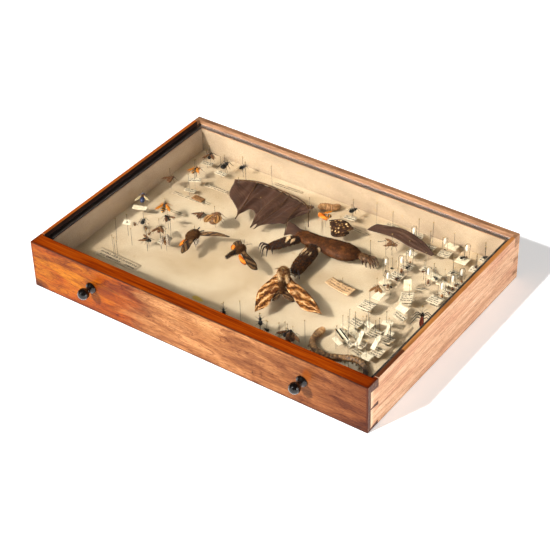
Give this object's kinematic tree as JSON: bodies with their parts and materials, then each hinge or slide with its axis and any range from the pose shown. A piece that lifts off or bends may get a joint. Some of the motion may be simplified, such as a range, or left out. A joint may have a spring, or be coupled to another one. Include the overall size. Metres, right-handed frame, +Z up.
{
  "type": "insect collection drawer",
  "caption": "Dovetailed cabinet drawer with a corked, paper-lined bed under a glass lid, turned knobs, and pinned insects and dried specimens inside.",
  "frame": {"origin": "bottom centre of the bounding box, knobs included", "axes": "+X to the right along the front, -Y out of the front face, +Z up"},
  "size_m": [0.43, 0.3192, 0.059],
  "materials": {
    "front_wood": "polished orange-brown hardwood",
    "side_wood": "waxed pale straight-grained wood",
    "panel_wood": "plain sawn softwood",
    "cork": "sheet cork",
    "lining_paper": "aged cream lining paper",
    "ebonised_wood": "black polished turned wood",
    "black_tape": "matt black paper strip",
    "glass": "clear old sheet glass",
    "card": "aged card",
    "pin_steel": "dull insect pin",
    "moth_wing": "scaled wing, dry and matt",
    "dark_insect": "dark insect shell with short hair",
    "dried_skin": "dried skin and short fur"
  },
  "bodies": {
    "root": {"front_board": "front_wood", "side_board_left": "side_wood", "side_board_right": "side_wood", "back_board": "side_wood", "bottom_panel": "panel_wood", "cork_sheet": "cork", "floor_paper": "lining_paper", "wall_paper_left": "lining_paper", "wall_paper_right": "lining_paper", "wall_paper_front": "lining_paper", "wall_paper_back": "lining_paper", "glass_strip_left": "black_tape", "glass_strip_right": "black_tape", "glass_strip_front": "black_tape", "glass_strip_back": "black_tape", "glass_pane": "glass", "knob_left": "ebonised_wood", "knob_right": "ebonised_wood", "hawk_moth": "moth_wing", "orange_moth_middle": "moth_wing", "orange_moth_left": "moth_wing", "striped_moth": "moth_wing", "bat_wing_near": "dried_skin", "bat_wing_far": "dried_skin", "bat_body": "dried_skin", "bat_foot": "dried_skin", "bat_forearm_left": "dried_skin", "bat_forearm_right": "dried_skin", "dried_snakeling": "dried_skin", "rear_grub": "dried_skin", "cicada": "dark_insect", "wasp": "dark_insect", "blue_bee": "dark_insect", "ground_beetle": "dark_insect", "folded_butterfly": "dark_insect", "long_bug": "dark_insect", "name_label": "card", "pink_label": "card", "card_lower": "card", "card_middle": "card", "card_upper": "card", "card_edge": "card", "specimen_tube_1": "glass", "specimen_tube_2": "glass", "specimen_tube_3": "glass", "bare_pin_1": "pin_steel", "bare_pin_2": "pin_steel", "bare_pin_3": "pin_steel", "bare_pin_4": "pin_steel"}
  },
  "joints": []
}
